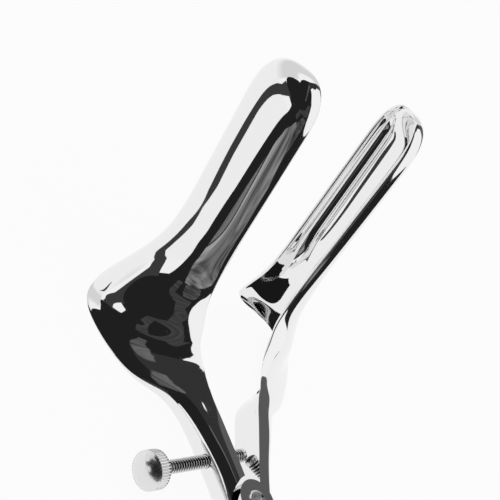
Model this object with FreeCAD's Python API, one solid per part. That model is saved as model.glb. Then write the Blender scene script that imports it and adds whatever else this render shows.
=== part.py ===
# Two-bladed (bivalve) speculum lying on a table, handles towards -Y, blades rising towards +Y.
# Each half is drawn closed in its own lever frame: X outward from the mirror plane, Y along the
# arm, Z up, with the pivot axis on X = Y = 0 and the table at Z = 0. It is then swung open about
# the pivot, and the left half is the mirror image of the right one.
import FreeCAD, Part
import math
import os

from FreeCAD import Vector

os.makedirs("parts", exist_ok=True)

# Opening of each half at rest, in degrees from the position with both rim planes parallel
HALF_OPENING = 15.0

# Blade: a pressed trough, tilted up from the arm, with a closed round tip
BLADE_TILT = 65.2
BLADE_TOE = 2.4
BLADE_LENGTH = 67.8
TIP_LENGTH = 14.0
NECK_WIDTH = 19.6
TIP_WIDTH = 23.2
TROUGH_DEPTH = 7.4
SHEET = 1.6
MOUTH_Y = 64.4
MOUTH_Z = 17.7

# Lever: arm, pivot boss and handle
LEVER_HEIGHT = 11.0
ARM_DEPTH = 6.7
INNER_GAP = 0.8
EDGE_ROUND = 1.0
FACE_SKIM = 0.6
HANDLE_LENGTH = 116.0
HANDLE_SLOPE = 0.46
HANDLE_START = 6.0
HANDLE_BEND = 14.0
HANDLE_BOW = 2.5
HANDLE_HEIGHT = 9.0
HANDLE_DEPTH = 5.4
SEAM_Y = 38.0
TOP_FLAT_END = 30.0

# Lap joint at the pivot
EAR_RADIUS = 6.2
RECESS_RADIUS = 7.4
LAP_GAP = 0.1

# Pivot screw
PIVOT_RADIUS = 2.0
PIVOT_FIT = 0.05
HEAD_RADIUS = 2.9
HEAD_HEIGHT = 1.5
HEAD_SINK = 1.1
HEAD_FIT = 0.1
SLOT_WIDTH = 0.8
SLOT_DEPTH = 0.7
SCREW_END_COVER = 1.2

# Thumbscrew across the left arm
STUD_RADIUS = 1.95
STUD_FIT = 0.05
STUD_HEIGHT = 14.8
STUD_TIP_RADIUS = 2.4
STUD_TIP_GAP = 0.3
STUD_SHOWN = 19.0
KNOB_RADIUS = 5.4
KNOB_BAND = 3.6
KNOB_BEVEL = 0.6
KNOB_DOME = 2.2
KNOB_SOCKET = 3.0
KNURL_COUNT = 40
KNURL_DEPTH = 0.3

# Poles of the spline skin round one rib: outside, two at each rim, inside
OUTER_POLES = 13
INNER_POLES = 11
TROUGH_RIBS = (0.75, 0.585, 0.42, 0.265)
RING = OUTER_POLES + INNER_POLES + 4
TINY = 0.02


def unit(vector):
    """The vector scaled to length one."""
    return vector * (1.0 / vector.Length)


tilt = math.radians(BLADE_TILT)
toe = math.radians(BLADE_TOE)
along_blade = Vector(-math.sin(toe), math.cos(toe) * math.cos(tilt), math.cos(toe) * math.sin(tilt))
across_blade = Vector(0, math.sin(tilt), -math.cos(tilt))
out_of_blade = across_blade.cross(along_blade)
if out_of_blade.x < 0:
    out_of_blade = -out_of_blade


def on_blade(forward, across, outward):
    """A point by its distance past the mouth, across the trough and out of its rim plane."""
    mouth = Vector(0, MOUTH_Y, MOUTH_Z)
    return mouth + along_blade * forward + across_blade * across + out_of_blade * outward


def section(front, rear, belly, hollow, solid):
    """One rib of the half: its two rims, its outermost point, how far the inside follows it
    (1 is the full depth, 0 is flat) and whether its rims are sheet edges (0) or bar edges (1)."""
    return {"front": front, "rear": rear, "belly": belly, "hollow": hollow, "solid": solid}


def trough_section(forward, shrink=1.0, hollow=None):
    """A rib of the trough; towards the tip it shrinks and its inside levels out."""
    half = (NECK_WIDTH + (TIP_WIDTH - NECK_WIDTH) * forward / BLADE_LENGTH) / 2 * shrink
    depth = TROUGH_DEPTH * shrink
    if hollow is None:
        hollow = 1.0 - SHEET / depth
    return section(on_blade(forward, -half, 0), on_blade(forward, half, 0),
                   on_blade(forward, 0.3 * shrink, depth), hollow, 0.0)


def arm_section(y, inner_x, low, high, depth):
    """A rib of the bar: flat towards the other half, round on the outside."""
    return section(Vector(inner_x, y, high), Vector(inner_x, y, low),
                   Vector(inner_x + depth, y, (low + high) / 2), 0.0, 1.0)


def handle_inner_x(y):
    """Inner face of the handle: a bend out of the arm's plane, then a long gentle bow."""
    run = HANDLE_START - y
    if run <= 0:
        return INNER_GAP
    if run < HANDLE_BEND:
        return INNER_GAP + HANDLE_SLOPE * run ** 2 / (2 * HANDLE_BEND)
    bow = HANDLE_BOW * math.sin(math.pi * (run - HANDLE_BEND) / (HANDLE_LENGTH + HANDLE_START - HANDLE_BEND))
    return INNER_GAP + HANDLE_SLOPE * (run - HANDLE_BEND / 2) + bow


def half_sections():
    """All ribs of one half, from the blade's tip over the flared mouth to the handle's end."""
    ribs = []
    for share, shrink, hollow in ((1.0, 0.0, 0.0), (1.0, 0.17, 0.0), (0.98, 0.38, 0.0), (0.91, 0.60, 0.05),
                                  (0.75, 0.80, 0.35), (0.52, 0.94, 0.65), (0.26, 1.0, 0.78)):
        ribs.append(trough_section(BLADE_LENGTH - TIP_LENGTH * (1 - share), shrink, hollow))
    for share in TROUGH_RIBS:
        ribs.append(trough_section(BLADE_LENGTH * share))
    top = LEVER_HEIGHT
    inner = INNER_GAP
    # The neck, the flared mouth with its corner, the palm below it and the root of the arm
    ribs.append(section(on_blade(9, -10.1, 0), on_blade(9, 10.2, 0), on_blade(8.6, 1.4, 8.9), 0.80, 0.0))
    ribs.append(section(on_blade(2, -10.4, 0), on_blade(2.4, 12.0, 0.2), on_blade(1, 3.7, 11.2), 0.84, 0.0))
    ribs.append(section(Vector(0.2, 52.8, top + 8.5), on_blade(-4.5, 14.4, -0.4), on_blade(-6, 6.5, 15.2),
                        0.86, 0.0))
    ribs.append(section(Vector(0.5, 49.1, top + 6.3), on_blade(-10.0, 17.3, -0.2), on_blade(-12, 7.3, 18.3),
                        0.86, 0.1))
    ribs.append(section(Vector(inner, 45.9, top + 2.7), on_blade(-10.3, 13.8, 8.5), on_blade(-14.4, 4.4, 19.0),
                        0.76, 0.25))
    ribs.append(section(Vector(inner, 41.4, top + 1.3), on_blade(-12.3, 8.4, 17.6), on_blade(-17.9, 2.0, 21.0),
                        0.45, 0.5))
    ribs.append(section(Vector(inner, 38.0, top + 0.8), Vector(10.8, 44.0, 2.6), Vector(18.4, 41.2, 2.4),
                        0.05, 0.8))
    ribs.append(section(Vector(inner, 31.0, top - 0.3), Vector(0.8, 36.6, -0.3), Vector(10.4, 35.6, 4.2),
                        -0.1, 0.95))
    ribs.append(section(Vector(inner, 23.2, top + 0.15), Vector(1.8, 25.0, 0.6), Vector(8.8, 25.0, 6.4),
                        0.0, 1.0))
    for y in (15.0, 7.0, 0.0, -7.0, -16.0):
        ribs.append(arm_section(y, handle_inner_x(y), -FACE_SKIM, top + FACE_SKIM, ARM_DEPTH))
    for y in (-30.0, -50.0, -70.0, -90.0, -105.0):
        share = -y / HANDLE_LENGTH
        high = top + (HANDLE_HEIGHT - top) * share
        depth = ARM_DEPTH + (HANDLE_DEPTH - ARM_DEPTH) * share
        ribs.append(arm_section(y, handle_inner_x(y), -FACE_SKIM, high, depth))
    end = -HANDLE_LENGTH
    for y, shrink in ((end + 4.0, 1.0), (end + 0.5, 0.92), (end, 0.5), (end, 0.0)):
        ribs.append(arm_end_section(y, shrink))
    return ribs


def arm_end_section(y, shrink):
    """A rib of the handle's rounded end."""
    inner_x = handle_inner_x(y)
    middle = Vector(inner_x + HANDLE_DEPTH * 0.4, y, HANDLE_HEIGHT / 2)
    rib = arm_section(y, inner_x, -FACE_SKIM, HANDLE_HEIGHT, HANDLE_DEPTH)
    for key in ("front", "rear", "belly"):
        rib[key] = middle + (rib[key] - middle) * shrink
    rib["shrink"] = shrink
    return rib


def half_ellipse(start, end, belly, count):
    """Points from start to end through belly, on half of an ellipse that may be skewed."""
    middle = (start + end) * 0.5
    points = []
    for step in range(count):
        angle = math.pi * step / (count - 1)
        points.append(middle - (end - start) * (0.5 * math.cos(angle)) + (belly - middle) * math.sin(angle))
    return points


def rib_poles(rib):
    """The closed ring of poles of one rib: outside, rear rim, inside and front rim."""
    front, rear, belly = rib["front"], rib["rear"], rib["belly"]
    middle = (front + rear) * 0.5
    if (rear - front).Length < TINY:
        return [middle] * RING
    chord = unit(rear - front)
    outward = unit(belly - middle)
    solid = rib["solid"]
    size = rib.get("shrink", 1.0)
    width = min(SHEET * (1 - solid) + EDGE_ROUND * solid * size, (rear - front).Length * 0.3)
    rise = width * 0.5 * (1 - solid) + EDGE_ROUND * solid * size
    base = outward * (width * 0.5 * (1 - solid))
    inner_front = front + base + chord * width
    inner_rear = rear + base - chord * width
    inner_belly = (inner_front + inner_rear) * 0.5 + (belly - middle) * rib["hollow"]
    rim = outward * (-width * 0.5 * (1 - solid))
    ring = half_ellipse(front + outward * rise, rear + outward * rise, belly, OUTER_POLES)
    ring += [rear + rim, rear + rim - chord * width * (1 - solid)]
    ring += half_ellipse(inner_rear, inner_front, inner_belly, INNER_POLES)
    ring += [front + rim + chord * width * (1 - solid), front + rim]
    return ring


def half_body():
    """The skin of one whole half, blade, arm and handle, as a single smooth solid: a cubic spline
    surface, closed round the ribs and run from the blade's tip to the handle's end."""
    rings = [rib_poles(rib) for rib in half_sections()]
    poles = [[ring[place] for ring in rings] for place in range(RING)]
    count = len(rings)
    surface = Part.BSplineSurface()
    surface.buildFromPolesMultsKnots(poles, [1] * (RING + 1), [4] + [1] * (count - 4) + [4],
                                     list(range(RING + 1)), list(range(count - 2)), True, False, 3, 3)
    solid = Part.Solid(Part.Shell([surface.toShape()]))
    if solid.Volume < 0:
        solid.reverse()
    return solid


def box(x0, x1, y0, y1, z0, z1):
    """A box between two corners."""
    return Part.makeBox(x1 - x0, y1 - y0, z1 - z0, Vector(x0, y0, z0))


def cylinder(radius, z0, z1):
    """A cylinder on the pivot axis."""
    return Part.makeCylinder(radius, z1 - z0, Vector(0, 0, z0))


def blade_piece(body):
    """Everything of the half beyond the brazed seam."""
    return body.common(box(-60, 90, SEAM_Y, 200, -20, 200))


def lever_piece(body, lower_ear):
    """Arm and handle with the ear of the lap joint, lower on the left half, upper on the right."""
    lap = LEVER_HEIGHT / 2
    lever = body.common(box(-60, 90, -300, SEAM_Y, 0, 200))
    lever = lever.cut(box(-60, 90, -300, TOP_FLAT_END, LEVER_HEIGHT, 60))
    if lower_ear:
        ear = cylinder(EAR_RADIUS, 0, lap - LAP_GAP / 2)
        cleared = cylinder(RECESS_RADIUS, lap - LAP_GAP / 2, LEVER_HEIGHT + 5)
    else:
        ear = cylinder(EAR_RADIUS, lap + LAP_GAP / 2, LEVER_HEIGHT)
        cleared = cylinder(RECESS_RADIUS, -5, lap + LAP_GAP / 2)
    return lever.cut(cleared).fuse(ear).removeSplitter()


def stud_tip_x():
    """Where the stud's round tip stands from the pivot axis, just clear of the other arm."""
    opening = math.radians(2 * HALF_OPENING)
    reach = INNER_GAP + STUD_HEIGHT * math.sin(opening) - STUD_TIP_RADIUS - STUD_TIP_GAP
    return reach / math.cos(opening) + STUD_TIP_RADIUS


def arm_outer_x():
    """Outermost line of the arm."""
    return INNER_GAP + ARM_DEPTH


def stud_place(shape):
    """Moves a shape drawn along +X onto the thumbscrew's axis, in the left half's lever frame
    mirrored like the right one, so that -X points across the gap."""
    shape.translate(Vector(0, STUD_HEIGHT, LEVER_HEIGHT / 2))
    return shape


def stud():
    """The threaded rod: round tip towards the other arm, far end seated in the knob."""
    tip = -stud_tip_x()
    far = arm_outer_x() + STUD_SHOWN + KNOB_SOCKET
    rod = Part.makeCylinder(STUD_RADIUS, far - tip, Vector(tip, 0, 0), Vector(1, 0, 0))
    ball = Part.makeSphere(STUD_TIP_RADIUS, Vector(tip + STUD_TIP_RADIUS, 0, 0))
    rest = box(tip + STUD_TIP_RADIUS, far + 1, -5, 5, -5, 5)
    return stud_place(rod.common(ball.fuse(rest)).removeSplitter())


def knob():
    """The thumbscrew's head: a turned, domed disc with a straight knurl round its rim."""
    near = arm_outer_x() + STUD_SHOWN
    rim_end = near + KNOB_BAND
    dome_radius = (KNOB_RADIUS - KNOB_BEVEL) ** 2 / (2 * KNOB_DOME) + KNOB_DOME / 2
    crown = Vector(rim_end + KNOB_BEVEL / 2 + KNOB_DOME, 0, 0)
    side = KNOB_RADIUS - KNOB_BEVEL
    half_angle = math.asin(side / dome_radius) / 2
    shoulder = Vector(crown.x - dome_radius * (1 - math.cos(half_angle)), dome_radius * math.sin(half_angle), 0)
    corner = Vector(rim_end + KNOB_BEVEL / 2, side, 0)
    profile = [Part.makeLine(Vector(near, 0, 0), Vector(near, KNOB_RADIUS - KNOB_BEVEL, 0)),
               Part.makeLine(Vector(near, KNOB_RADIUS - KNOB_BEVEL, 0),
                             Vector(near + KNOB_BEVEL / 2, KNOB_RADIUS, 0)),
               Part.makeLine(Vector(near + KNOB_BEVEL / 2, KNOB_RADIUS, 0), Vector(rim_end, KNOB_RADIUS, 0)),
               Part.makeLine(Vector(rim_end, KNOB_RADIUS, 0), corner),
               Part.Arc(corner, shoulder, crown).toShape(),
               Part.makeLine(crown, Vector(near, 0, 0))]
    head = Part.Face(Part.Wire(profile)).revolve(Vector(0, 0, 0), Vector(1, 0, 0), 360)
    half_width = math.pi * KNOB_RADIUS / KNURL_COUNT * 0.8
    outside = KNOB_RADIUS + KNURL_DEPTH * 0.2
    groove_points = [Vector(near - 1, outside, -half_width), Vector(near - 1, KNOB_RADIUS - KNURL_DEPTH, 0),
                     Vector(near - 1, outside, half_width), Vector(near - 1, outside, -half_width)]
    groove = Part.Face(Part.makePolygon(groove_points)).extrude(Vector(KNOB_BAND + 3, 0, 0))
    grooves = []
    for step in range(KNURL_COUNT):
        copy = groove.copy()
        copy.rotate(Vector(0, 0, 0), Vector(1, 0, 0), 360.0 * step / KNURL_COUNT)
        grooves.append(copy)
    head = head.cut(grooves)
    socket = Part.makeCylinder(STUD_RADIUS, KNOB_SOCKET + 1, Vector(near - 1, 0, 0), Vector(1, 0, 0))
    return stud_place(head.cut(socket))


def stud_hole():
    """The tapped hole through the left arm."""
    hole = Part.makeCylinder(STUD_RADIUS + STUD_FIT, arm_outer_x() + 10, Vector(-2, 0, 0), Vector(1, 0, 0))
    return stud_place(hole)


def pivot_screw():
    """Slotted cheese-head screw: plain shank in the right ear, thread in the left one."""
    head_base = LEVER_HEIGHT - HEAD_SINK
    head_top = head_base + HEAD_HEIGHT
    head = cylinder(HEAD_RADIUS, head_base, head_top)
    head = head.makeChamfer(0.25, [edge for edge in head.Edges if edge.BoundBox.ZMin > head_top - TINY])
    shank = cylinder(PIVOT_RADIUS, SCREW_END_COVER, head_base)
    slot = box(-HEAD_RADIUS - 1, HEAD_RADIUS + 1, -SLOT_WIDTH / 2, SLOT_WIDTH / 2, head_top - SLOT_DEPTH,
               head_top + 1)
    slot.rotate(Vector(0, 0, 0), Vector(0, 0, 1), 35)
    return head.fuse(shank).removeSplitter().cut(slot)


def swing(shape, left):
    """Opens a half from its lever frame to its place at rest, mirrored for the left one."""
    shape = shape.copy()
    shape.rotate(Vector(0, 0, 0), Vector(0, 0, 1), -HALF_OPENING)
    if left:
        shape = shape.mirror(Vector(0, 0, 0), Vector(1, 0, 0))
    return shape


def save(shape, name):
    """Writes one node and prints what it weighs in at."""
    solids = shape.Solids
    print(name, "solids", len(solids), "volume", round(shape.Volume, 1), "valid", shape.isValid())
    if len(solids) == 1:
        shape = solids[0]
    shape.exportStep("parts/" + name + ".step")


def main():
    """Builds every node."""
    body = half_body()
    left_blade = blade_piece(body)
    left_lever = lever_piece(body, True)
    left_lever = left_lever.cut(cylinder(PIVOT_RADIUS, SCREW_END_COVER, LEVER_HEIGHT + 1)).cut(stud_hole())
    right_blade = blade_piece(body)
    right_lever = lever_piece(body, False)
    right_lever = right_lever.cut(cylinder(PIVOT_RADIUS + PIVOT_FIT, 0, LEVER_HEIGHT + 1))
    right_lever = right_lever.cut(cylinder(HEAD_RADIUS + HEAD_FIT, LEVER_HEIGHT - HEAD_SINK - HEAD_FIT / 2,
                                           LEVER_HEIGHT + 5))
    save(swing(left_blade, True), "left_blade")
    save(swing(left_lever, True), "left_lever")
    save(swing(stud(), True), "thumbscrew_stud")
    save(swing(knob(), True), "thumbscrew_knob")
    save(pivot_screw(), "pivot_screw")
    save(swing(right_blade, False), "right_blade")
    save(swing(right_lever, False), "right_lever")


main()
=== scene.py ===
import math

import bmesh
import bpy
import numpy as np
from mathutils import Matrix


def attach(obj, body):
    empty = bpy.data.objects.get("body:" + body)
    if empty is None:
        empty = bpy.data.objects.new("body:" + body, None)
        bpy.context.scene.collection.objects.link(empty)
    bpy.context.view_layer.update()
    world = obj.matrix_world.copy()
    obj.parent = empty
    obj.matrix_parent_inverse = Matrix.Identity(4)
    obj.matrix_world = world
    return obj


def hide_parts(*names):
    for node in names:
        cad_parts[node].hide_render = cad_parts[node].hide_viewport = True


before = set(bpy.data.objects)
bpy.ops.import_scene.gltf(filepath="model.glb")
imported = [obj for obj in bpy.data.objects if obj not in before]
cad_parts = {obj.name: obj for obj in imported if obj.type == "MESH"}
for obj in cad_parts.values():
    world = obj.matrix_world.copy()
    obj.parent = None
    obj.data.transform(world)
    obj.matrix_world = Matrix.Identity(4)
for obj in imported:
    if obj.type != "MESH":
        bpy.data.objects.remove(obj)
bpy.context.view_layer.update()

# The studio: a pale table under the instrument, a white surround, and the dark camera side of the room
# with pale and grey cards in it. Polished steel has no look of its own and only shows these.
WHITE_ROOM = 1.0
ROOM_ON_METAL = 1.0
ROOM_AS_LIGHT = 0.7
TABLE_SHADE = 0.9
TABLE_GLOW = 0.92
FLOOR_HALF_SIDE = 3.0


def light_path_background(nodes, links):
    """1 where a ray comes from the camera or off a glossy or clear surface, 0 for diffuse light."""
    path = nodes.new("ShaderNodeLightPath")
    first = nodes.new("ShaderNodeMath")
    first.operation = "MAXIMUM"
    links.new(path.outputs["Is Camera Ray"], first.inputs[0])
    links.new(path.outputs["Is Glossy Ray"], first.inputs[1])
    second = nodes.new("ShaderNodeMath")
    second.operation = "MAXIMUM"
    links.new(first.outputs[0], second.inputs[0])
    links.new(path.outputs["Is Transmission Ray"], second.inputs[1])
    return second.outputs[0]


def surface_mesh(name, points, faces):
    """A mesh object from an array of points in metres and a list of face corner lists."""
    mesh = bpy.data.meshes.new(name)
    mesh.from_pydata(points.tolist(), [], faces)
    mesh.update()
    piece = bpy.data.objects.new(name, mesh)
    bpy.context.scene.collection.objects.link(piece)
    return piece


def emission_material(name, brightness, streaks):
    """A glowing surface for a studio lamp, a dark cloth or a painted shadow: its strength is one, plus streaks
    times noise that is stretched level."""
    material = bpy.data.materials.new(name)
    material.use_nodes = True
    nodes, links = material.node_tree.nodes, material.node_tree.links
    nodes.clear()
    glow = nodes.new("ShaderNodeEmission")
    glow.inputs["Color"].default_value = (brightness, brightness, brightness, 1)
    place = nodes.new("ShaderNodeTexCoord")
    stretch = nodes.new("ShaderNodeMapping")
    stretch.inputs["Scale"].default_value = (2, 2, 40)
    noise = nodes.new("ShaderNodeTexNoise")
    noise.inputs["Scale"].default_value = 1.5
    noise.inputs["Detail"].default_value = 3.0
    strength = nodes.new("ShaderNodeMapRange")
    strength.inputs["From Min"].default_value = 0.3
    strength.inputs["From Max"].default_value = 0.7
    strength.inputs["To Min"].default_value = 1.0 - streaks
    strength.inputs["To Max"].default_value = 1.0 + streaks
    out = nodes.new("ShaderNodeOutputMaterial")
    links.new(place.outputs["Object"], stretch.inputs["Vector"])
    links.new(stretch.outputs["Vector"], noise.inputs["Vector"])
    links.new(noise.outputs["Fac"], strength.inputs["Value"])
    links.new(strength.outputs["Result"], glow.inputs["Strength"])
    links.new(glow.outputs[0], out.inputs["Surface"])
    return material


STUDIO_CENTRE = np.array([-0.025, 0.075, 0.045])
CARD_LIFT = 0.0006
CARD_ROWS = 61
CARD_COLUMNS = 31


def studio_card(name, brightness, distance, outline, streaks=0.0):
    """A sheet of cloth, a wall, a lamp's face or a painted shadow that fills a patch of the view from between
    the blades.
    Each row of the outline is an elevation and the patch's first and last azimuth there, in degrees from
    +X towards +Y. A ray goes on to the given distance, or to the table's surface if it meets that first.
    Streaks makes level bands of that much more and less light."""
    outline = np.array(outline, float)
    height, share = np.meshgrid(np.linspace(outline[0, 0], outline[-1, 0], CARD_ROWS),
                                np.linspace(0, 1, CARD_COLUMNS), indexing="ij")
    first, last = (np.interp(height, outline[:, 0], outline[:, k]) for k in (1, 2))
    azimuth, elevation = np.radians(first + (last - first) * share), np.radians(height)
    ray = np.stack([np.cos(azimuth) * np.cos(elevation), np.sin(azimuth) * np.cos(elevation),
                    np.sin(elevation)], -1)
    to_table = np.where(ray[..., 2] < 0,
                        (CARD_LIFT - STUDIO_CENTRE[2]) / np.minimum(ray[..., 2], -1e-6), distance)
    points = STUDIO_CENTRE + ray * np.minimum(to_table, distance)[..., None]
    i, j = np.meshgrid(np.arange(CARD_ROWS - 1), np.arange(CARD_COLUMNS - 1), indexing="ij")
    corner = i * CARD_COLUMNS + j
    above = corner + CARD_COLUMNS
    quads = np.stack([corner, corner + 1, above + 1, above], -1).reshape(-1, 4)
    card = surface_mesh(name, points.reshape(-1, 3), quads.tolist())
    card.data.materials.append(emission_material(name, brightness, streaks))
    card.visible_camera = False
    card.visible_shadow = False
    card.visible_diffuse = False


floor = surface_mesh("table_top", np.array([[-1, -1, 0], [1, -1, 0], [1, 1, 0], [-1, 1, 0]], float)
                     * FLOOR_HALF_SIDE, [[0, 1, 2, 3]])
floor_material = bpy.data.materials.new("white_table")
floor_material.use_nodes = True
nodes, links = floor_material.node_tree.nodes, floor_material.node_tree.links
shadow_part = nodes["Principled BSDF"]
shadow_part.inputs["Base Color"].default_value = (TABLE_SHADE, TABLE_SHADE, TABLE_SHADE, 1)
shadow_part.inputs["Roughness"].default_value = 0.9
shadow_part.inputs["Specular IOR Level"].default_value = 0.0
glow = nodes.new("ShaderNodeEmission")
glow.inputs["Color"].default_value = (1, 1, 1, 1)
share = nodes.new("ShaderNodeMath")
share.operation = "MULTIPLY"
share.inputs[1].default_value = TABLE_GLOW
links.new(light_path_background(nodes, links), share.inputs[0])
mix = nodes.new("ShaderNodeMixShader")
links.new(share.outputs[0], mix.inputs[0])
links.new(shadow_part.outputs[0], mix.inputs[1])
links.new(glow.outputs[0], mix.inputs[2])
links.new(mix.outputs[0], nodes["Material Output"].inputs["Surface"])
floor.data.materials.append(floor_material)

world = bpy.data.worlds.new("white_room")
bpy.context.scene.world = world
world.use_nodes = True
nodes, links = world.node_tree.nodes, world.node_tree.links
room = nodes["Background"]
room.inputs["Color"].default_value = (WHITE_ROOM, WHITE_ROOM, WHITE_ROOM, 1)
strength = nodes.new("ShaderNodeMapRange")
strength.inputs["To Min"].default_value = ROOM_AS_LIGHT
strength.inputs["To Max"].default_value = ROOM_ON_METAL
links.new(light_path_background(nodes, links), strength.inputs["Value"])
links.new(strength.outputs[0], room.inputs["Strength"])

bpy.context.scene.view_settings.view_transform = "Standard"

# The camera stands behind and above the handles on the left, and looks along the arms to the blades. Its
# place puts the pivot axis, at the height of the levers' top, on one pixel of the square frame.
FRAME_PIXELS = 500
SENSOR_WIDTH = 36.0
LEVER_HEIGHT = 11.0
CAMERA_AZIMUTH = 49.7
CAMERA_TILT = -29.2
CAMERA_ROLL = -13.3
CAMERA_DISTANCE = 460.7
PIXELS_PER_MM = 3.76
PIVOT_PIXEL = (257.8, 500.5)
azimuth, tilt_down, roll = (math.radians(x) for x in (CAMERA_AZIMUTH, CAMERA_TILT, CAMERA_ROLL))
back = np.array([-math.sin(azimuth) * math.cos(tilt_down), math.sin(tilt_down),
                 math.cos(azimuth) * math.cos(tilt_down)])
level = np.array([math.cos(azimuth), 0.0, math.sin(azimuth)])
rise = np.cross(back, level)
right = level * math.cos(roll) + rise * math.sin(roll)
up = rise * math.cos(roll) - level * math.sin(roll)
aside, below = ((pixel - FRAME_PIXELS / 2) / PIXELS_PER_MM for pixel in PIVOT_PIXEL)
place = np.array([0.0, 0.0, LEVER_HEIGHT]) + back * CAMERA_DISTANCE - right * aside + up * below
camera_data = bpy.data.cameras.new("camera")
camera_data.sensor_width = SENSOR_WIDTH
camera_data.lens = PIXELS_PER_MM * CAMERA_DISTANCE / FRAME_PIXELS * SENSOR_WIDTH
camera_data.clip_start, camera_data.clip_end = 0.02, 20.0
camera = bpy.data.objects.new("camera", camera_data)
matrix = np.eye(4)
matrix[:3, 0], matrix[:3, 1], matrix[:3, 2], matrix[:3, 3] = right, up, back, place / 1000
camera.matrix_world = Matrix(matrix.tolist())
bpy.context.scene.collection.objects.link(camera)
bpy.context.scene.camera = camera

# Dark cloths, grey walls and lamps of the studio, by direction from between the blades, and a dark sheet on
# the table under the right palm that is painted shadow. Metal shows them and the white room; nothing else does.
for shade in range(6):
    studio_card(f"pale_backdrop_{shade}", 0.97 - 0.045 * shade, 0.79 - 0.005 * shade,
                [(3 * shade - 4, 40, 150), (3 * shade + 3, 28, 152), (46 - shade, 26, 150)])
studio_card("dark_room", 0.016, 0.74, [
    (-19, 203, 207), (-14, 204, 230), (-10, 203, 300), (-7, 205, 350), (-4, 207, 345), (0, 209, 330),
    (4, 208, 316), (9, 205, 301), (11, 186, 297), (15, 156, 290), (20, 150, 286), (30, 150, 281),
    (40, 155, 278), (45, 163, 277), (50, 150, 273), (55, 140, 267), (60, 130, 262), (65, 120, 257),
    (70, 100, 252), (75, 95, 238), (80, 95, 205)])
studio_card("thin_cloth", 0.045, 0.70, [
    (-38, 157, 165), (-34, 150, 171), (-30, 146, 172), (-26, 145, 164), (-20, 148, 161), (-10, 152, 168),
    (0, 158, 179), (5, 162, 183), (10, 160, 187), (14, 158, 192)])
studio_card("grey_wall", 0.17, 0.68, [
    (-9, 222, 228), (-7, 223, 240), (-4, 224, 300), (-2, 226, 306), (0, 228, 306), (3, 234, 301),
    (5, 238, 291), (7, 240, 277), (9, 243, 262)], streaks=0.8)
studio_card("pale_corner", 0.30, 0.66, [
    (-9, 222, 228), (-6, 222, 236), (-3, 224, 240), (0, 229, 238)], streaks=0.6)
studio_card("grey_shelf", 0.07, 0.67, [
    (7, 262, 284), (10, 249, 286), (15, 252, 283), (19, 257, 276)], streaks=0.8)
studio_card("back_wall", 0.05, 0.71, [
    (10, 229, 240), (20, 228, 240), (22, 230, 276), (30, 250, 274), (38, 250, 268), (44, 252, 276)],
            streaks=0.4)
studio_card("grey_arc", 0.10, 0.69, [
    (42, 224, 230), (48, 220, 227), (54, 214, 222), (60, 205, 216), (66, 193, 209), (70, 180, 202),
    (73, 165, 190), (76, 150, 170)], streaks=0.6)
studio_card("dark_ceiling", 0.035, 0.72, [
    (38, 16, 34), (46, 17, 40), (55, 20, 46), (60, 14, 54), (66, 10, 62), (69, 5, 80), (71, 0, 180),
    (76, 0, 200), (81, 0, 205), (89.5, 0, 215)])
studio_card("grey_side", 0.11, 0.60, [(-8, 8, 24), (-4, 9, 22), (30, 9, 30), (38, 15, 33)])
# Painted shadow: a dark sheet on the table under the right palm, seen only in the metal, stands in for the
# palm's shadow there.
studio_card("palm_shade", 0.01, 0.70, [
    (-48, 326, 342), (-42, 324, 346), (-36, 324, 347), (-34, 326, 345)])

# The two pressed blades. Each is one smooth skin with the forged arm and handle below it: stainless
# sheet, drawn into a trough with a round tip and a wide flared mouth, brazed to the arm and polished.
HALF_OPENING = 15.0
BLADE_TILT = 65.2
BLADE_TOE = 2.4
BLADE_LENGTH = 67.8
TIP_LENGTH = 14.0
NECK_WIDTH = 19.6
TIP_WIDTH = 23.2
TROUGH_DEPTH = 7.4
SHEET = 1.6
MOUTH = np.array([0.0, 64.4, 17.7])
ARM_DEPTH = 6.7
INNER_GAP = 0.8
EDGE_ROUND = 1.0
FACE_SKIM = 0.6
HANDLE_LENGTH = 116.0
HANDLE_SLOPE = 0.46
HANDLE_START = 6.0
HANDLE_BEND = 14.0
HANDLE_BOW = 2.5
HANDLE_HEIGHT = 9.0
HANDLE_DEPTH = 5.4
SEAM_Y = 38.0
POINT_CHORD = 0.02
OUTER_POLES = 13
INNER_POLES = 11
TROUGH_RIBS = (0.75, 0.585, 0.42, 0.265)
STEPS_ROUND = 8
BLADE_ROWS = 300
WELD = 2e-6

tilt, toe = math.radians(BLADE_TILT), math.radians(BLADE_TOE)
along_blade = np.array([-math.sin(toe), math.cos(toe) * math.cos(tilt), math.cos(toe) * math.sin(tilt)])
across_blade = np.array([0.0, math.sin(tilt), -math.cos(tilt)])
out_of_blade = np.cross(across_blade, along_blade)
out_of_blade *= np.sign(out_of_blade[0])


def on_blade(forward, across, outward):
    """The mouth's point moved along the blade, across its trough and out of its rim plane."""
    return MOUTH + along_blade * forward + across_blade * across + out_of_blade * outward


def handle_inner_x(y):
    """The inner face's distance from the middle plane: a quadratic bend, then a straight run with one
    half sine wave of bow."""
    run = HANDLE_START - y
    if run <= 0:
        return INNER_GAP
    if run < HANDLE_BEND:
        return INNER_GAP + HANDLE_SLOPE * run ** 2 / (2 * HANDLE_BEND)
    bow = HANDLE_BOW * math.sin(math.pi * (run - HANDLE_BEND) / (HANDLE_LENGTH + HANDLE_START - HANDLE_BEND))
    return INNER_GAP + HANDLE_SLOPE * (run - HANDLE_BEND / 2) + bow


def half_ellipse(start, end, belly, count):
    """Points of half an ellipse: the middle less half the chord times cosine, plus belly times sine."""
    angle = np.linspace(0, math.pi, count)[:, None]
    middle = (start + end) / 2
    return middle - (end - start) / 2 * np.cos(angle) + (belly - middle) * np.sin(angle)


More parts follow.
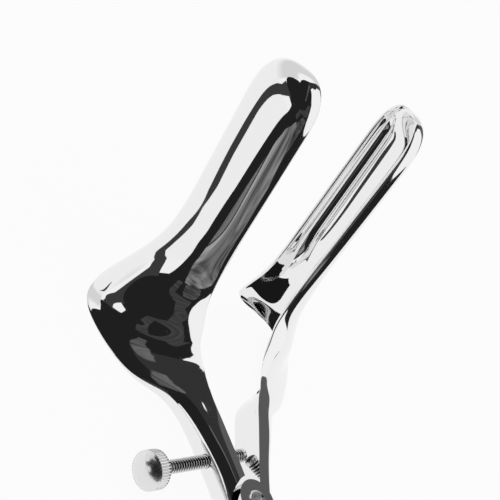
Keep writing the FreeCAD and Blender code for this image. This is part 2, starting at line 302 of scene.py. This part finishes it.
def rib(front, rear, belly, hollow, solid, size=1.0):
    """The closed ring of control points of one rib: a half ellipse outside, the rear rim, a shallower
    half ellipse inside and the front rim. Rims are sheet edges at solid 0 and bar edges at solid 1."""
    front, rear, belly = (np.array(p, float) for p in (front, rear, belly))
    middle = (front + rear) / 2
    length = np.linalg.norm(rear - front)
    if length < POINT_CHORD:
        return np.repeat(middle[None], OUTER_POLES + INNER_POLES + 4, axis=0)
    chord = (rear - front) / length
    outward = (belly - middle) / np.linalg.norm(belly - middle)
    width = min(SHEET * (1 - solid) + EDGE_ROUND * solid * size, length * 0.3)
    rise = width / 2 * (1 - solid) + EDGE_ROUND * solid * size
    base = outward * width / 2 * (1 - solid)
    inner_front, inner_rear = front + base + chord * width, rear + base - chord * width
    inner_belly = (inner_front + inner_rear) / 2 + (belly - middle) * hollow
    rim = -base
    lip = chord * width * (1 - solid)
    return np.vstack([half_ellipse(front + outward * rise, rear + outward * rise, belly, OUTER_POLES),
                      rear + rim, rear + rim - lip,
                      half_ellipse(inner_rear, inner_front, inner_belly, INNER_POLES),
                      front + rim + lip, front + rim])


def trough_rib(forward, shrink=1.0, hollow=None):
    """A rib across the trough, whose half width grows linearly to the tip, scaled by shrink."""
    if not shrink:
        return rib(on_blade(forward, 0, 0), on_blade(forward, 0, 0), on_blade(forward, 0, 1), 0, 0)
    half = (NECK_WIDTH + (TIP_WIDTH - NECK_WIDTH) * forward / BLADE_LENGTH) / 2 * shrink
    depth = TROUGH_DEPTH * shrink
    hollow = 1 - SHEET / depth if hollow is None else hollow
    return rib(on_blade(forward, -half, 0), on_blade(forward, half, 0),
               on_blade(forward, 0.3 * shrink, depth), hollow, 0.0)


def bar_rib(y, low, high, depth, shrink=1.0):
    """A rib of the forged bar, flat towards the other half and round outside, scaled about its middle."""
    x = handle_inner_x(y)
    middle = np.array([x + depth * 0.4, y, (low + FACE_SKIM + high) / 2])
    corners = np.array([[x, y, high], [x, y, low], [x + depth, y, (low + high) / 2]])
    front, rear, belly = middle + (corners - middle) * shrink
    return rib(front, rear, belly, 0.0, 1.0, shrink)


def half_ribs():
    """The control net of one half, rib by rib from the blade's tip to the handle's end."""
    ribs = []
    for share, shrink, hollow in ((1.0, 0.0, 0.0), (1.0, 0.17, 0.0), (0.98, 0.38, 0.0), (0.91, 0.60, 0.05),
                                  (0.75, 0.80, 0.35), (0.52, 0.94, 0.65), (0.26, 1.0, 0.78)):
        ribs.append(trough_rib(BLADE_LENGTH - TIP_LENGTH * (1 - share), shrink, hollow))
    for share in TROUGH_RIBS:
        ribs.append(trough_rib(BLADE_LENGTH * share))
    top, inner = LEVER_HEIGHT, INNER_GAP
    ribs.append(rib(on_blade(9, -10.1, 0), on_blade(9, 10.2, 0), on_blade(8.6, 1.4, 8.9), 0.80, 0.0))
    ribs.append(rib(on_blade(2, -10.4, 0), on_blade(2.4, 12.0, 0.2), on_blade(1, 3.7, 11.2), 0.84, 0.0))
    ribs.append(rib((0.2, 52.8, top + 8.5), on_blade(-4.5, 14.4, -0.4), on_blade(-6, 6.5, 15.2), 0.86, 0.0))
    ribs.append(rib((0.5, 49.1, top + 6.3), on_blade(-10.0, 17.3, -0.2), on_blade(-12, 7.3, 18.3), 0.86, 0.1))
    ribs.append(rib((inner, 45.9, top + 2.7), on_blade(-10.3, 13.8, 8.5), on_blade(-14.4, 4.4, 19.0),
                    0.76, 0.25))
    ribs.append(rib((inner, 41.4, top + 1.3), on_blade(-12.3, 8.4, 17.6), on_blade(-17.9, 2.0, 21.0),
                    0.45, 0.5))
    ribs.append(rib((inner, 38.0, top + 0.8), (10.8, 44.0, 2.6), (18.4, 41.2, 2.4), 0.05, 0.8))
    ribs.append(rib((inner, 31.0, top - 0.3), (0.8, 36.6, -0.3), (10.4, 35.6, 4.2), -0.1, 0.95))
    ribs.append(rib((inner, 23.2, top + 0.15), (1.8, 25.0, 0.6), (8.8, 25.0, 6.4), 0.0, 1.0))
    for y in (15.0, 7.0, 0.0, -7.0, -16.0):
        ribs.append(bar_rib(y, -FACE_SKIM, top + FACE_SKIM, ARM_DEPTH))
    for y in (-30.0, -50.0, -70.0, -90.0, -105.0):
        share = -y / HANDLE_LENGTH
        ribs.append(bar_rib(y, -FACE_SKIM, top + (HANDLE_HEIGHT - top) * share,
                            ARM_DEPTH + (HANDLE_DEPTH - ARM_DEPTH) * share))
    for y, shrink in ((4.0, 1.0), (0.5, 0.92), (0.0, 0.5), (0.0, 0.0)):
        ribs.append(bar_rib(y - HANDLE_LENGTH, -FACE_SKIM, HANDLE_HEIGHT, HANDLE_DEPTH, shrink))
    return np.array(ribs)


def spline_weights(at, knots, count):
    """Cubic B-spline weights by the Cox-de Boor recurrence: each level blends two of the level below
    by how far the parameter is through their spans."""
    at = np.clip(np.asarray(at, float), knots[0], knots[-1] - 1e-9)[:, None]
    weights = ((at >= knots[None, :-1]) & (at < knots[None, 1:])).astype(float)
    for degree in (1, 2, 3):
        low, high = knots[:-degree - 1], knots[degree + 1:]
        before, after = knots[degree:-1] - low, high - knots[1:-degree]
        rising = np.where(before > 0, (at - low) / np.where(before > 0, before, 1), 0)
        falling = np.where(after > 0, (high - at) / np.where(after > 0, after, 1), 0)
        weights = rising * weights[:, :-1] + falling * weights[:, 1:]
    return weights[:, :count]


net = half_ribs()
RIBS, RING = net.shape[:2]
along_knots = np.concatenate([[0.0] * 3, np.arange(RIBS - 2), [RIBS - 3.0] * 3])
around = np.arange(RING * STEPS_ROUND) / STEPS_ROUND
wrapped = spline_weights(around + 3, np.arange(RING + 7.0), RING + 3)
around_weights = wrapped[:, :RING].copy()
around_weights[:, :3] += wrapped[:, RING:]


def skin(along):
    """Points of the skin at one parameter along it, or at one for each line of the skin."""
    weights = spline_weights(along, along_knots, RIBS)
    columns = np.einsum("ui,jik->ujk", around_weights, net)
    if len(weights) == len(columns) and np.ndim(along) == 1 and len(along) == len(around):
        return np.einsum("uj,ujk->uk", weights, columns)
    return np.einsum("vj,ujk->vuk", weights, columns)


def seam_parameters():
    """For every line of the skin, where it passes the brazed seam's plane, by halving a span."""
    scan = np.linspace(0, RIBS - 3, 601)
    past = skin(scan)[:, :, 1] < SEAM_Y
    first = np.argmax(past, axis=0)
    low, high = scan[first - 1], scan[first]
    for _ in range(30):
        middle = (low + high) / 2
        beyond = skin(middle)[:, 1] < SEAM_Y
        low, high = np.where(beyond, low, middle), np.where(beyond, middle, high)
    return (low + high) / 2


def swing(points, side):
    """Opens points of a half from its own frame by a turn about the pivot, and mirrors the left one."""
    c, s = math.cos(math.radians(HALF_OPENING)), math.sin(math.radians(HALF_OPENING))
    x, y = points[..., 0], points[..., 1]
    return np.stack([(x * c + y * s) * side, y * c - x * s, points[..., 2]], axis=-1)


def tube_faces(rows, ring, side):
    """Quads of a closed tube of rings, turned the other way round for the mirrored half."""
    i, j = np.meshgrid(np.arange(rows - 1), np.arange(ring), indexing="ij")
    k = (j + 1) % ring
    near, far = i * ring, (i + 1) * ring
    quads = np.stack([near + j, near + k, far + k, far + j], axis=-1).reshape(-1, 4)
    return quads if side > 0 else quads[:, ::-1]


def skin_piece(name, start, end, steps, side, shape=None):
    """The skin between two parameters on each of its lines, closed by a flat face at either end."""
    share = np.linspace(0, 1, steps)[:, None]
    params = start[None] * (1 - share) + end[None] * share
    columns = np.einsum("ui,jik->ujk", around_weights, net)
    points = np.stack([np.einsum("uj,ujk->uk", spline_weights(row, along_knots, RIBS), columns)
                       for row in params])
    if shape is not None:
        points = shape(points)
    ring = len(around)
    quads = tube_faces(steps, ring, side).tolist()
    first, last = list(range(ring)), list(range((steps - 1) * ring, steps * ring))
    quads += [first[::-1], last] if side > 0 else [first, last[::-1]]
    piece = surface_mesh(name, swing(points.reshape(-1, 3), side) / 1000, quads)
    build = bmesh.new()
    build.from_mesh(piece.data)
    bmesh.ops.remove_doubles(build, verts=build.verts, dist=WELD)
    bmesh.ops.recalc_face_normals(build, faces=build.faces)
    build.to_mesh(piece.data)
    build.free()
    return piece


def smooth(piece, sharp=35.0):
    """Smooth shading with sharp edges where two faces meet at more than an angle in degrees."""
    piece.data.polygons.foreach_set("use_smooth", [True] * len(piece.data.polygons))
    piece.data.set_sharp_from_angle(angle=math.radians(sharp))
    piece.data.update()


def polishing_marks():
    """A node group for worked steel. Stretched noise gives fine buffing lines, a slow noise the uneven
    hand-held polish, and small dark cells the pits and specks that stay in it."""
    group = bpy.data.node_groups.new("polishing_marks", "ShaderNodeTree")
    face = group.interface
    face.new_socket("Vector", in_out="INPUT", socket_type="NodeSocketVector")
    for label, value in (("Line Scale", 900.0), ("Haze", 0.03), ("Base Roughness", 0.03), ("Specks", 0.5)):
        socket = face.new_socket(label, in_out="INPUT", socket_type="NodeSocketFloat")
        socket.default_value = value
    for label in ("Roughness", "Height", "Speck Mask"):
        face.new_socket(label, in_out="OUTPUT", socket_type="NodeSocketFloat")
    nodes, links = group.nodes, group.links
    given, made = nodes.new("NodeGroupInput"), nodes.new("NodeGroupOutput")
    stretch = nodes.new("ShaderNodeMapping")
    stretch.inputs["Rotation"].default_value = (0.3, 0.5, 0.9)
    stretch.inputs["Scale"].default_value = (1.0, 0.06, 1.0)
    links.new(given.outputs["Vector"], stretch.inputs["Vector"])
    lines = nodes.new("ShaderNodeTexNoise")
    lines.inputs["Detail"].default_value = 3.0
    links.new(stretch.outputs[0], lines.inputs["Vector"])
    links.new(given.outputs["Line Scale"], lines.inputs["Scale"])
    waves = nodes.new("ShaderNodeTexNoise")
    waves.inputs["Scale"].default_value = 70.0
    waves.inputs["Detail"].default_value = 1.5
    links.new(given.outputs["Vector"], waves.inputs["Vector"])
    haze = nodes.new("ShaderNodeMapRange")
    haze.inputs["From Min"].default_value = 0.35
    haze.inputs["From Max"].default_value = 0.75
    links.new(waves.outputs["Fac"], haze.inputs["Value"])
    links.new(given.outputs["Haze"], haze.inputs["To Max"])
    grain = nodes.new("ShaderNodeMath")
    grain.operation = "MULTIPLY_ADD"
    links.new(lines.outputs["Fac"], grain.inputs[0])
    links.new(given.outputs["Haze"], grain.inputs[1])
    links.new(given.outputs["Base Roughness"], grain.inputs[2])
    specks = nodes.new("ShaderNodeTexVoronoi")
    specks.inputs["Scale"].default_value = 420.0
    specks.inputs["Randomness"].default_value = 1.0
    links.new(given.outputs["Vector"], specks.inputs["Vector"])
    dots = nodes.new("ShaderNodeMapRange")
    dots.inputs["From Min"].default_value = 0.09
    dots.inputs["From Max"].default_value = 0.03
    links.new(specks.outputs["Distance"], dots.inputs["Value"])
    patches = nodes.new("ShaderNodeTexNoise")
    patches.inputs["Scale"].default_value = 160.0
    links.new(given.outputs["Vector"], patches.inputs["Vector"])
    where = nodes.new("ShaderNodeMapRange")
    where.inputs["From Min"].default_value = 0.56
    where.inputs["From Max"].default_value = 0.66
    links.new(patches.outputs["Fac"], where.inputs["Value"])
    mask = nodes.new("ShaderNodeMath")
    mask.operation = "MULTIPLY"
    links.new(dots.outputs[0], mask.inputs[0])
    links.new(where.outputs[0], mask.inputs[1])
    kept = nodes.new("ShaderNodeMath")
    kept.operation = "MULTIPLY"
    links.new(mask.outputs[0], kept.inputs[0])
    links.new(given.outputs["Specks"], kept.inputs[1])
    rough = nodes.new("ShaderNodeMath")
    rough.operation = "ADD"
    links.new(grain.outputs[0], rough.inputs[0])
    links.new(haze.outputs[0], rough.inputs[1])
    final = nodes.new("ShaderNodeMath")
    final.operation = "MULTIPLY_ADD"
    final.inputs[1].default_value = 0.35
    links.new(kept.outputs[0], final.inputs[0])
    links.new(rough.outputs[0], final.inputs[2])
    links.new(final.outputs[0], made.inputs["Roughness"])
    height = nodes.new("ShaderNodeMath")
    height.operation = "MULTIPLY_ADD"
    height.inputs[1].default_value = 0.02
    links.new(lines.outputs["Fac"], height.inputs[0])
    links.new(waves.outputs["Fac"], height.inputs[2])
    links.new(height.outputs[0], made.inputs["Height"])
    links.new(kept.outputs[0], made.inputs["Speck Mask"])
    return group


MARKS = polishing_marks()


def steel(name, shade, roughness, haze, line_scale, bump, specks):
    """Metallic steel whose roughness, fine height and specks come from the polishing marks."""
    material = bpy.data.materials.new(name)
    material.use_nodes = True
    nodes, links = material.node_tree.nodes, material.node_tree.links
    shader = nodes["Principled BSDF"]
    shader.inputs["Metallic"].default_value = 1.0
    place = nodes.new("ShaderNodeTexCoord")
    marks = nodes.new("ShaderNodeGroup")
    marks.node_tree = MARKS
    marks.inputs["Line Scale"].default_value = line_scale
    marks.inputs["Haze"].default_value = haze
    marks.inputs["Base Roughness"].default_value = roughness
    marks.inputs["Specks"].default_value = specks
    links.new(place.outputs["Object"], marks.inputs["Vector"])
    links.new(marks.outputs["Roughness"], shader.inputs["Roughness"])
    colour = nodes.new("ShaderNodeMix")
    colour.data_type = "RGBA"
    colour.inputs["A"].default_value = (shade, shade, shade * 1.005, 1)
    colour.inputs["B"].default_value = (shade * 0.55, shade * 0.54, shade * 0.52, 1)
    links.new(marks.outputs["Speck Mask"], colour.inputs["Factor"])
    links.new(colour.outputs["Result"], shader.inputs["Base Color"])
    relief = nodes.new("ShaderNodeBump")
    relief.inputs["Strength"].default_value = 1.0
    relief.inputs["Distance"].default_value = bump
    links.new(marks.outputs["Height"], relief.inputs["Height"])
    links.new(relief.outputs["Normal"], shader.inputs["Normal"])
    return material


mirror_steel = steel("mirror_steel", 0.86, 0.02, 0.015, 900.0, 0.00002, 0.7)

seam = seam_parameters()
tip_start = np.zeros(len(around))
for side, word in ((-1, "left"), (1, "right")):
    blade = skin_piece(word + "_blade_skin", tip_start, seam, BLADE_ROWS, side)
    smooth(blade)
    blade.data.materials.append(mirror_steel)
    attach(blade, word + "_half")
    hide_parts(word + "_blade")

# The two levers: drop-forged stainless bars, flat above, below and towards each other, round outside,
# thinned to half their height at the pivot so that their ears lap. The left one is drilled and tapped
# for the thumbscrew.
EAR_RADIUS = 6.2
RECESS_RADIUS = 7.4
LAP_GAP = 0.1
PIVOT_RADIUS = 2.0
PIVOT_FIT = 0.05
HEAD_RADIUS = 2.9
HEAD_SINK = 1.1
HEAD_FIT = 0.1
SCREW_END_COVER = 1.2
STUD_RADIUS = 1.95
STUD_FIT = 0.05
STUD_HEIGHT = 14.8
FLAT_END_Y = 30.0
FLAT_FADE = 8.0
FLAT_RISE = 30.0
EDGE_SOFTNESS = 0.12
LEVER_ROWS = 330


def soft_below(value, limit, softness):
    """The smaller of two values with a rounded corner: half of sum less a hyperbola of the difference."""
    return (value + limit - np.sqrt((value - limit) ** 2 + softness ** 2)) / 2


def flatten_bar(points):
    """The bar's top and underside ground flat with slightly rounded edges, the top only on the arm."""
    z = -soft_below(-points[..., 2], 0.0, EDGE_SOFTNESS)
    opening = np.clip((points[..., 1] - FLAT_END_Y) / FLAT_FADE, 0, 1)
    z = soft_below(z, LEVER_HEIGHT + FLAT_RISE * opening ** 2, EDGE_SOFTNESS)
    return np.stack([points[..., 0], points[..., 1], np.clip(z, 0, None)], axis=-1)


def rod(name, radius, start, end, count=96):
    """A closed cylinder between two points in millimetres, as a cutter or a boss."""
    start, end = np.array(start, float), np.array(end, float)
    axis = (end - start) / np.linalg.norm(end - start)
    other = np.cross(axis, [0.0, 0.0, 1.0]) if abs(axis[2]) < 0.9 else np.array([1.0, 0.0, 0.0])
    other /= np.linalg.norm(other)
    third = np.cross(axis, other)
    angle = np.linspace(0, 2 * math.pi, count, endpoint=False)[:, None]
    circle = (np.cos(angle) * other + np.sin(angle) * third) * radius
    points = np.vstack([start + circle, end + circle])
    faces = tube_faces(2, count, 1).tolist() + [list(range(count))[::-1], list(range(count, 2 * count))]
    return surface_mesh(name, points / 1000, faces)


def carve(piece, other, operation):
    """Joins or cuts with the exact boolean and throws the second shape away."""
    change = piece.modifiers.new("carve", "BOOLEAN")
    change.operation = operation
    change.object = other
    change.solver = "EXACT"
    bpy.context.view_layer.update()
    result = bpy.data.meshes.new_from_object(piece.evaluated_get(bpy.context.evaluated_depsgraph_get()))
    piece.modifiers.clear()
    piece.data = result
    bpy.data.objects.remove(other)


LAP = LEVER_HEIGHT / 2
bar_end = np.full(len(around), RIBS - 3.0)
cos_half, sin_half = math.cos(math.radians(HALF_OPENING)), math.sin(math.radians(HALF_OPENING))
for side, word in ((-1, "left"), (1, "right")):
    lever = skin_piece(word + "_lever_bar", seam, bar_end, LEVER_ROWS, side, flatten_bar)
    if word == "left":
        carve(lever, rod("recess", RECESS_RADIUS, (0, 0, LAP - LAP_GAP / 2), (0, 0, 16)), "DIFFERENCE")
        carve(lever, rod("ear", EAR_RADIUS, (0, 0, 0), (0, 0, LAP - LAP_GAP / 2)), "UNION")
        carve(lever, rod("bore", PIVOT_RADIUS, (0, 0, SCREW_END_COVER), (0, 0, 12)), "DIFFERENCE")
        middle = np.array([-STUD_HEIGHT * sin_half, STUD_HEIGHT * cos_half, LAP])
        reach = np.array([cos_half, sin_half, 0.0])
        carve(lever, rod("tapped_hole", STUD_RADIUS + STUD_FIT, middle - reach * 18, middle + reach * 4),
              "DIFFERENCE")
    else:
        carve(lever, rod("recess", RECESS_RADIUS, (0, 0, -5), (0, 0, LAP + LAP_GAP / 2)), "DIFFERENCE")
        carve(lever, rod("ear", EAR_RADIUS, (0, 0, LAP + LAP_GAP / 2), (0, 0, LEVER_HEIGHT)), "UNION")
        carve(lever, rod("bore", PIVOT_RADIUS + PIVOT_FIT, (0, 0, 0), (0, 0, 12)), "DIFFERENCE")
        carve(lever, rod("counterbore", HEAD_RADIUS + HEAD_FIT,
                         (0, 0, LEVER_HEIGHT - HEAD_SINK - HEAD_FIT / 2),
                         (0, 0, 14)), "DIFFERENCE")
    smooth(lever)
    lever.data.materials.append(mirror_steel)
    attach(lever, word + "_half")
    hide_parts(word + "_lever")

# The pivot screw: a cheese-head screw of bright turned steel, with a slot. It is plain in the upper ear,
# which turns on it, and held in the lower one.
SLOT_WIDTH = 0.8
SLOT_DEPTH = 0.7
HEAD_HEIGHT = 1.5
SLOT_TURN = 35.0
SCREW_PLAY = 0.05


def turned(name, profile, start, axis, count=96, ripple=None):
    """A turned shape: a profile of distances along the axis and radii, carried round it. Where radii are
    zero the rows close to a point. A ripple may change the radius by angle and row."""
    profile = np.array(profile, float)
    axis = np.array(axis, float)
    axis /= np.linalg.norm(axis)
    other = np.cross(axis, [0.0, 0.0, 1.0]) if abs(axis[2]) < 0.9 else np.array([1.0, 0.0, 0.0])
    other /= np.linalg.norm(other)
    third = np.cross(axis, other)
    angle = np.linspace(0, 2 * math.pi, count, endpoint=False)
    radius = np.repeat(profile[:, 1:2], count, axis=1)
    if ripple is not None:
        radius = ripple(profile[:, 0:1], radius, angle[None])
    ring = np.cos(angle)[None, :, None] * other + np.sin(angle)[None, :, None] * third
    points = np.array(start) + profile[:, 0][:, None, None] * axis + radius[..., None] * ring
    faces = tube_faces(len(profile), count, 1).tolist()
    piece = surface_mesh(name, points.reshape(-1, 3) / 1000, faces)
    build = bmesh.new()
    build.from_mesh(piece.data)
    bmesh.ops.remove_doubles(build, verts=build.verts, dist=1e-7)
    bmesh.ops.dissolve_degenerate(build, edges=build.edges, dist=1e-7)
    bmesh.ops.recalc_face_normals(build, faces=build.faces)
    build.to_mesh(piece.data)
    build.free()
    return piece


head_low, head_high = LEVER_HEIGHT - HEAD_SINK, LEVER_HEIGHT - HEAD_SINK + HEAD_HEIGHT
shank = PIVOT_RADIUS - SCREW_PLAY
screw_profile = [(SCREW_END_COVER, 0), (SCREW_END_COVER, shank), (head_low, shank),
                 (head_low, HEAD_RADIUS), (head_high - 0.25, HEAD_RADIUS),
                 (head_high - 0.12, HEAD_RADIUS - 0.06), (head_high - 0.04, HEAD_RADIUS - 0.16),
                 (head_high, HEAD_RADIUS - 0.3), (head_high, 0)]
screw = turned("pivot_screw_turned", screw_profile, (0, 0, 0), (0, 0, 1))
turn = math.radians(SLOT_TURN)
slot_along = np.array([math.cos(turn), math.sin(turn), 0.0])
slot_across = np.array([-math.sin(turn), math.cos(turn), 0.0])
slot_corners = np.array([
    slot_along * i * 5 + slot_across * j * SLOT_WIDTH / 2 + np.array([0, 0, head_high - SLOT_DEPTH + k * 3])
    for k in (0, 1) for i, j in ((-1, -1), (1, -1), (1, 1), (-1, 1))])
slot_cutter = surface_mesh("slot_cutter", slot_corners / 1000,
                           [[3, 2, 1, 0], [4, 5, 6, 7], [0, 1, 5, 4], [1, 2, 6, 5], [2, 3, 7, 6], [3, 0, 4, 7]])
carve(screw, slot_cutter, "DIFFERENCE")
smooth(screw, 25.0)
screw_steel = steel("screw_steel", 0.80, 0.14, 0.08, 1800.0, 0.00001, 0.4)
screw.data.materials.append(screw_steel)
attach(screw, "left_half")
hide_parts("pivot_screw")

# The thumbscrew's rod: bright steel, with a coarse thread on a 4 mm shank and a plain round tip that bears
# on the right arm. It is screwed through the left arm, and the roots of its thread are painted dark as shade.
PITCH = 0.98
THREAD_DEPTH = 0.44
ROWS_PER_PITCH = 14
ROOT_SHADE_FULL_DEPTH = 0.34
ROOT_SHADE_START_DEPTH = 0.08
STUD_SHOWN = 19.0
KNOB_SOCKET = 3.0
STUD_TIP_RADIUS = 2.4
STUD_TIP_GAP = 0.3
opening = math.radians(2 * HALF_OPENING)
tip_reach = INNER_GAP + STUD_HEIGHT * math.sin(opening) - STUD_TIP_RADIUS - STUD_TIP_GAP
STUD_TIP_X = tip_reach / math.cos(opening) + STUD_TIP_RADIUS
knob_near = INNER_GAP + ARM_DEPTH + STUD_SHOWN
stud_axis = np.array([-cos_half, -sin_half, 0.0])
stud_origin = np.array([-STUD_HEIGHT * sin_half, STUD_HEIGHT * cos_half, LAP])


def screw_thread(along, radius, angle):
    """A thread: the radius dips by a rounded V where the distance along less one pitch a turn is near a
    whole number of pitches, fading out towards the tip."""
    phase = (along / PITCH - angle / (2 * math.pi)) % 1.0
    dip = 0.5 + 0.5 * np.cos(2 * math.pi * phase)
    fade = np.clip((along + STUD_TIP_X - 1.4) / 1.0, 0, 1)
    return np.where(radius > STUD_RADIUS - 0.02, radius - THREAD_DEPTH * fade * dip ** 0.8, radius)


tip_steps = np.linspace(0, 1, 9)
tip_rows = [(-STUD_TIP_X + STUD_TIP_RADIUS * (1 - math.cos(a)), STUD_TIP_RADIUS * math.sin(a))
            for a in tip_steps * math.asin(STUD_RADIUS / STUD_TIP_RADIUS)]
rod_rows = [(x, STUD_RADIUS) for x in np.arange(tip_rows[-1][0] + 0.05, knob_near + KNOB_SOCKET,
                                                PITCH / ROWS_PER_PITCH)]
stud_piece = turned("thumbscrew_rod", tip_rows + rod_rows + [(rod_rows[-1][0], 0)], stud_origin, stud_axis,
                    64, screw_thread)
smooth(stud_piece, 60.0)
thread_steel = steel("thread_steel", 0.80, 0.14, 0.08, 1800.0, 0.00001, 0.4)
nodes, links = thread_steel.node_tree.nodes, thread_steel.node_tree.links
place = nodes.new("ShaderNodeTexCoord")
on_axis = nodes.new("ShaderNodeMapping")
on_axis.vector_type = "TEXTURE"
on_axis.inputs["Location"].default_value = tuple(stud_origin / 1000)
on_axis.inputs["Rotation"].default_value = (0, 0, math.radians(HALF_OPENING))
flatten = nodes.new("ShaderNodeVectorMath")
flatten.operation = "MULTIPLY"
flatten.inputs[1].default_value = (0, 1, 1)
from_axis = nodes.new("ShaderNodeVectorMath")
from_axis.operation = "LENGTH"
# Painted shade: the colour goes nearly black in the thread's roots, by distance from the rod's axis.
root_shade_ramp = nodes.new("ShaderNodeMapRange")
root_shade_ramp.inputs["From Min"].default_value = (STUD_RADIUS - ROOT_SHADE_FULL_DEPTH) / 1000
root_shade_ramp.inputs["From Max"].default_value = (STUD_RADIUS - ROOT_SHADE_START_DEPTH) / 1000
root_shade_ramp.inputs["To Min"].default_value = 1.0
root_shade_ramp.inputs["To Max"].default_value = 0.0
painted_root_shade = nodes.new("ShaderNodeMix")
painted_root_shade.data_type = "RGBA"
painted_root_shade.inputs["B"].default_value = (0.05, 0.05, 0.05, 1)
links.new(place.outputs["Object"], on_axis.inputs["Vector"])
links.new(on_axis.outputs["Vector"], flatten.inputs[0])
links.new(flatten.outputs["Vector"], from_axis.inputs[0])
links.new(from_axis.outputs["Value"], root_shade_ramp.inputs["Value"])
links.new(root_shade_ramp.outputs["Result"], painted_root_shade.inputs["Factor"])
bright = nodes["Principled BSDF"].inputs["Base Color"]
links.new(bright.links[0].from_socket, painted_root_shade.inputs["A"])
links.new(painted_root_shade.outputs["Result"], bright)
stud_piece.data.materials.append(thread_steel)
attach(stud_piece, "thumbscrew")
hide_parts("thumbscrew_stud")

# The thumbscrew's head: turned steel, straight-knurled round its rim, with a polished low dome. It is
# pressed on the rod's end.
KNOB_RADIUS = 5.4
KNOB_BAND = 3.6
KNOB_BEVEL = 0.6
KNOB_DOME = 2.2
KNURL_COUNT = 40
KNURL_DEPTH = 0.3
rim_end = knob_near + KNOB_BAND


def knurl(along, radius, angle):
    """Straight ridges: the radius dips by a rectified cosine of the angle times the ridge count."""
    ridge = np.abs(np.cos(angle * KNURL_COUNT / 2)) ** 0.8
    return np.where(radius > KNOB_RADIUS - 0.02, radius - KNURL_DEPTH * (1 - ridge), radius)


side_radius = KNOB_RADIUS - KNOB_BEVEL
dome_radius = side_radius ** 2 / (2 * KNOB_DOME) + KNOB_DOME / 2
dome_start = math.asin(side_radius / dome_radius)
dome_rows = [(rim_end + KNOB_BEVEL / 2 + KNOB_DOME - dome_radius * (1 - math.cos(a)), dome_radius * math.sin(a))
             for a in np.linspace(dome_start, 0, 25)]
knob_rows = [(knob_near, STUD_RADIUS - 0.3), (knob_near, side_radius - 0.1), (knob_near + 0.02, side_radius),
             (knob_near + KNOB_BEVEL / 2, KNOB_RADIUS - 0.03)]
knob_rows += [(x, KNOB_RADIUS) for x in np.linspace(knob_near + KNOB_BEVEL / 2 + 0.03, rim_end - 0.03, 6)]
knob_rows += [(rim_end, KNOB_RADIUS - 0.03)] + dome_rows
knob_piece = turned("thumbscrew_head", knob_rows, stud_origin, stud_axis, KNURL_COUNT * 12, knurl)
smooth(knob_piece, 30.0)
knurled_steel = steel("knurled_steel", 0.78, 0.10, 0.10, 1500.0, 0.00001, 0.5)
knob_piece.data.materials.append(knurled_steel)
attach(knob_piece, "thumbscrew")
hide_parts("thumbscrew_knob")

bpy.context.view_layer.update()
